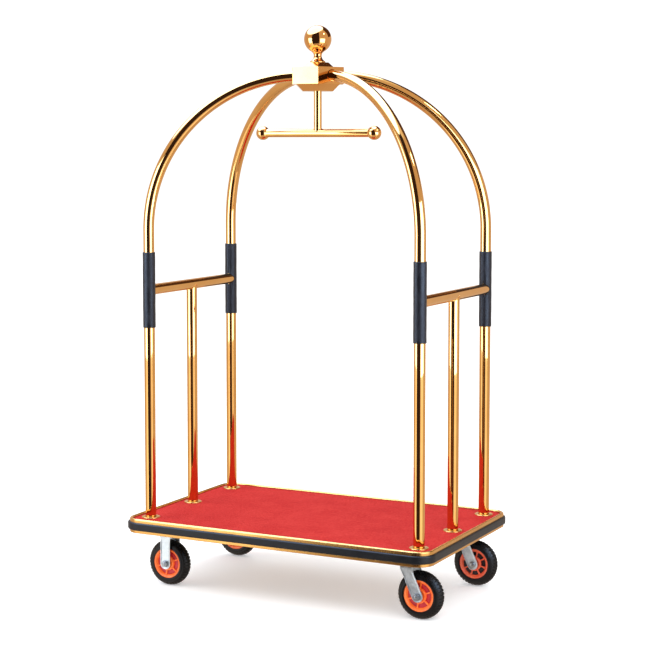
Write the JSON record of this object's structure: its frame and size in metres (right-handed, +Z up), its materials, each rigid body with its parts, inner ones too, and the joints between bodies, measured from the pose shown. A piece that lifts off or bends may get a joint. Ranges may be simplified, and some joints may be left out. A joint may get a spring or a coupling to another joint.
{
  "type": "hotel luggage cart",
  "caption": "Birdcage luggage cart with a carpeted deck, arched tube frame, ball finial, T hanger bar, two swivel and two rigid casters",
  "frame": {"origin": "on the floor, under the middle of the deck", "axes": "+Z up, X along the length with the swivel casters at +X, Y across the width with the front at -Y"},
  "size_m": [1.1, 0.693, 1.847],
  "materials": {
    "gold_tube": "polished",
    "gold_trim": "polished",
    "gold_crown": "polished",
    "carpet": "cut pile",
    "bumper": "satin",
    "board": "plywood",
    "frame": "powder coated",
    "steel": "machined",
    "zinc": "zinc plated",
    "grip": "grained",
    "rim": "moulded",
    "tyre": "matte",
    "bush": "moulded"
  },
  "bodies": {
    "cart": {"base_frame": "frame", "deck_board": "board", "carpet": "carpet", "edge_trim": "gold_trim", "bumper": "bumper", "post_front_left": "gold_tube", "post_front_right": "gold_tube", "post_back_left": "gold_tube", "post_back_right": "gold_tube", "post_mid_left": "gold_tube", "post_mid_right": "gold_tube", "post_flanges": "gold_trim", "post_bolts": "zinc", "tie_rod": "zinc", "caster_bolts": "zinc", "swivel_bearings": "zinc", "post_plugs": "steel", "arch_spigots": "steel", "crown_screws": "steel", "kingpins": "steel", "crossbar_left": "gold_tube", "crossbar_right": "gold_tube", "arch_front_left": "gold_tube", "grip_front_left": "grip", "axle_front_left": "zinc", "arch_front_right": "gold_tube", "grip_front_right": "grip", "arch_back_left": "gold_tube", "grip_back_left": "grip", "axle_back_left": "zinc", "arch_back_right": "gold_tube", "grip_back_right": "grip", "crown_block": "gold_crown", "crown_cap": "gold_crown", "crown_hip": "gold_crown", "finial_neck": "gold_crown", "finial_ball": "gold_crown", "hanger_stem": "gold_tube", "hanger_bar": "gold_tube", "hanger_bar_balls": "gold_tube", "fixed_fork_front_left": "zinc", "fixed_fork_back_left": "zinc", "swivel_plate_front_right": "zinc", "swivel_plate_back_right": "zinc"},
    "swivel_front_right": {"swivel_fork_front_right": "zinc", "axle_front_right": "zinc"},
    "swivel_back_right": {"swivel_fork_back_right": "zinc", "axle_back_right": "zinc"},
    "wheel_front_left": {"hub_bush_front_left": "bush", "rim_front_left": "rim", "tyre_front_left": "tyre"},
    "wheel_front_right": {"hub_bush_front_right": "bush", "rim_front_right": "rim", "tyre_front_right": "tyre"},
    "wheel_back_left": {"hub_bush_back_left": "bush", "rim_back_left": "rim", "tyre_back_left": "tyre"},
    "wheel_back_right": {"hub_bush_back_right": "bush", "rim_back_right": "rim", "tyre_back_right": "tyre"}
  },
  "joints": [
    {"name": "swivel_front_right", "type": "hinge", "parent": "cart", "child": "swivel_front_right", "pos_m": [0.436, -0.226, 0.168], "axis": [0, 0, 1], "continuous": true},
    {"name": "swivel_back_right", "type": "hinge", "parent": "cart", "child": "swivel_back_right", "pos_m": [0.436, 0.226, 0.168], "axis": [0, 0, 1], "continuous": true},
    {"name": "roll_front_left", "type": "hinge", "parent": "cart", "child": "wheel_front_left", "pos_m": [-0.436, -0.226, 0.076], "axis": [0, 1, 0], "continuous": true},
    {"name": "roll_front_right", "type": "hinge", "parent": "swivel_front_right", "child": "wheel_front_right", "pos_m": [0.474, -0.226, 0.076], "axis": [0, 1, 0], "continuous": true},
    {"name": "roll_back_left", "type": "hinge", "parent": "cart", "child": "wheel_back_left", "pos_m": [-0.436, 0.226, 0.076], "axis": [0, 1, 0], "continuous": true},
    {"name": "roll_back_right", "type": "hinge", "parent": "swivel_back_right", "child": "wheel_back_right", "pos_m": [0.474, 0.226, 0.076], "axis": [0, 1, 0], "continuous": true}
  ]
}
